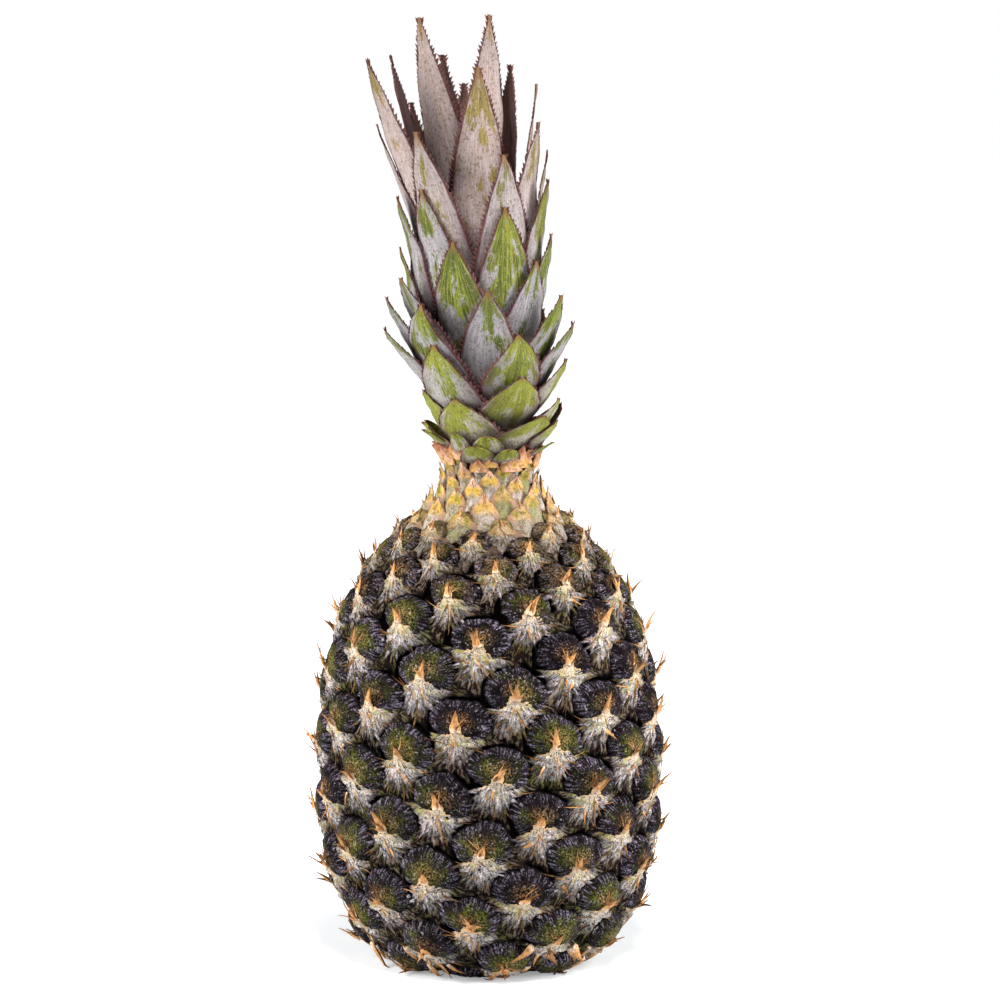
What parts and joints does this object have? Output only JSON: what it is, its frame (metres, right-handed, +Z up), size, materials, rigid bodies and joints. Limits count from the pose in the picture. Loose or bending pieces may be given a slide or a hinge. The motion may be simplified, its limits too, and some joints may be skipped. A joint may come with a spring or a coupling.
{
  "type": "pineapple",
  "caption": "Whole ripe pineapple with eyed rind, dried bracts and an upright crown of stiff spiny leaves, standing on its base.",
  "frame": {"origin": "centre of the flat spot that the fruit stands on, in the plane it rests on", "axes": "+Z up along the fruit from its base to its crown, -Y the front side"},
  "size_m": [0.1248, 0.1247, 0.337],
  "materials": {
    "rind": "knobbly dark brown-purple rind with olive-green, tan and whitish powdery patches, dull",
    "stalk": "dry cut plant stalk, fibrous and pale brown",
    "stem": "short pale green-white stem between the leaf feet, dull",
    "leaf": "stiff leaf with grey-white bloom over green, reddish-brown spiny edges and dry tan tips, satin"
  },
  "bodies": {
    "root": {"fruit_body": "rind", "cut_stalk": "stalk", "crown_stem": "stem", "crown_leaf_01": "leaf", "crown_leaf_02": "leaf", "crown_leaf_03": "leaf", "crown_leaf_04": "leaf", "crown_leaf_05": "leaf", "crown_leaf_06": "leaf", "crown_leaf_07": "leaf", "crown_leaf_08": "leaf", "crown_leaf_09": "leaf", "crown_leaf_10": "leaf", "crown_leaf_11": "leaf", "crown_leaf_12": "leaf", "crown_leaf_13": "leaf", "crown_leaf_14": "leaf", "crown_leaf_15": "leaf", "crown_leaf_16": "leaf", "crown_leaf_17": "leaf", "crown_leaf_18": "leaf", "crown_leaf_19": "leaf", "crown_leaf_20": "leaf", "crown_leaf_21": "leaf", "crown_leaf_22": "leaf", "crown_leaf_23": "leaf", "crown_leaf_24": "leaf", "crown_leaf_25": "leaf", "crown_leaf_26": "leaf", "crown_leaf_27": "leaf", "crown_leaf_28": "leaf", "crown_leaf_29": "leaf", "crown_leaf_30": "leaf", "crown_leaf_31": "leaf", "crown_leaf_32": "leaf", "crown_leaf_33": "leaf", "crown_leaf_34": "leaf", "crown_leaf_35": "leaf", "crown_leaf_36": "leaf", "crown_leaf_37": "leaf", "crown_leaf_38": "leaf", "crown_leaf_39": "leaf", "crown_leaf_40": "leaf", "crown_leaf_41": "leaf", "crown_leaf_42": "leaf", "crown_leaf_43": "leaf", "crown_leaf_44": "leaf", "crown_leaf_45": "leaf", "crown_leaf_46": "leaf", "crown_leaf_47": "leaf", "crown_leaf_48": "leaf", "crown_leaf_49": "leaf", "crown_leaf_50": "leaf", "crown_leaf_51": "leaf", "crown_leaf_52": "leaf", "crown_leaf_53": "leaf", "crown_leaf_54": "leaf", "crown_leaf_55": "leaf", "crown_leaf_56": "leaf", "crown_leaf_57": "leaf"}
  },
  "joints": []
}
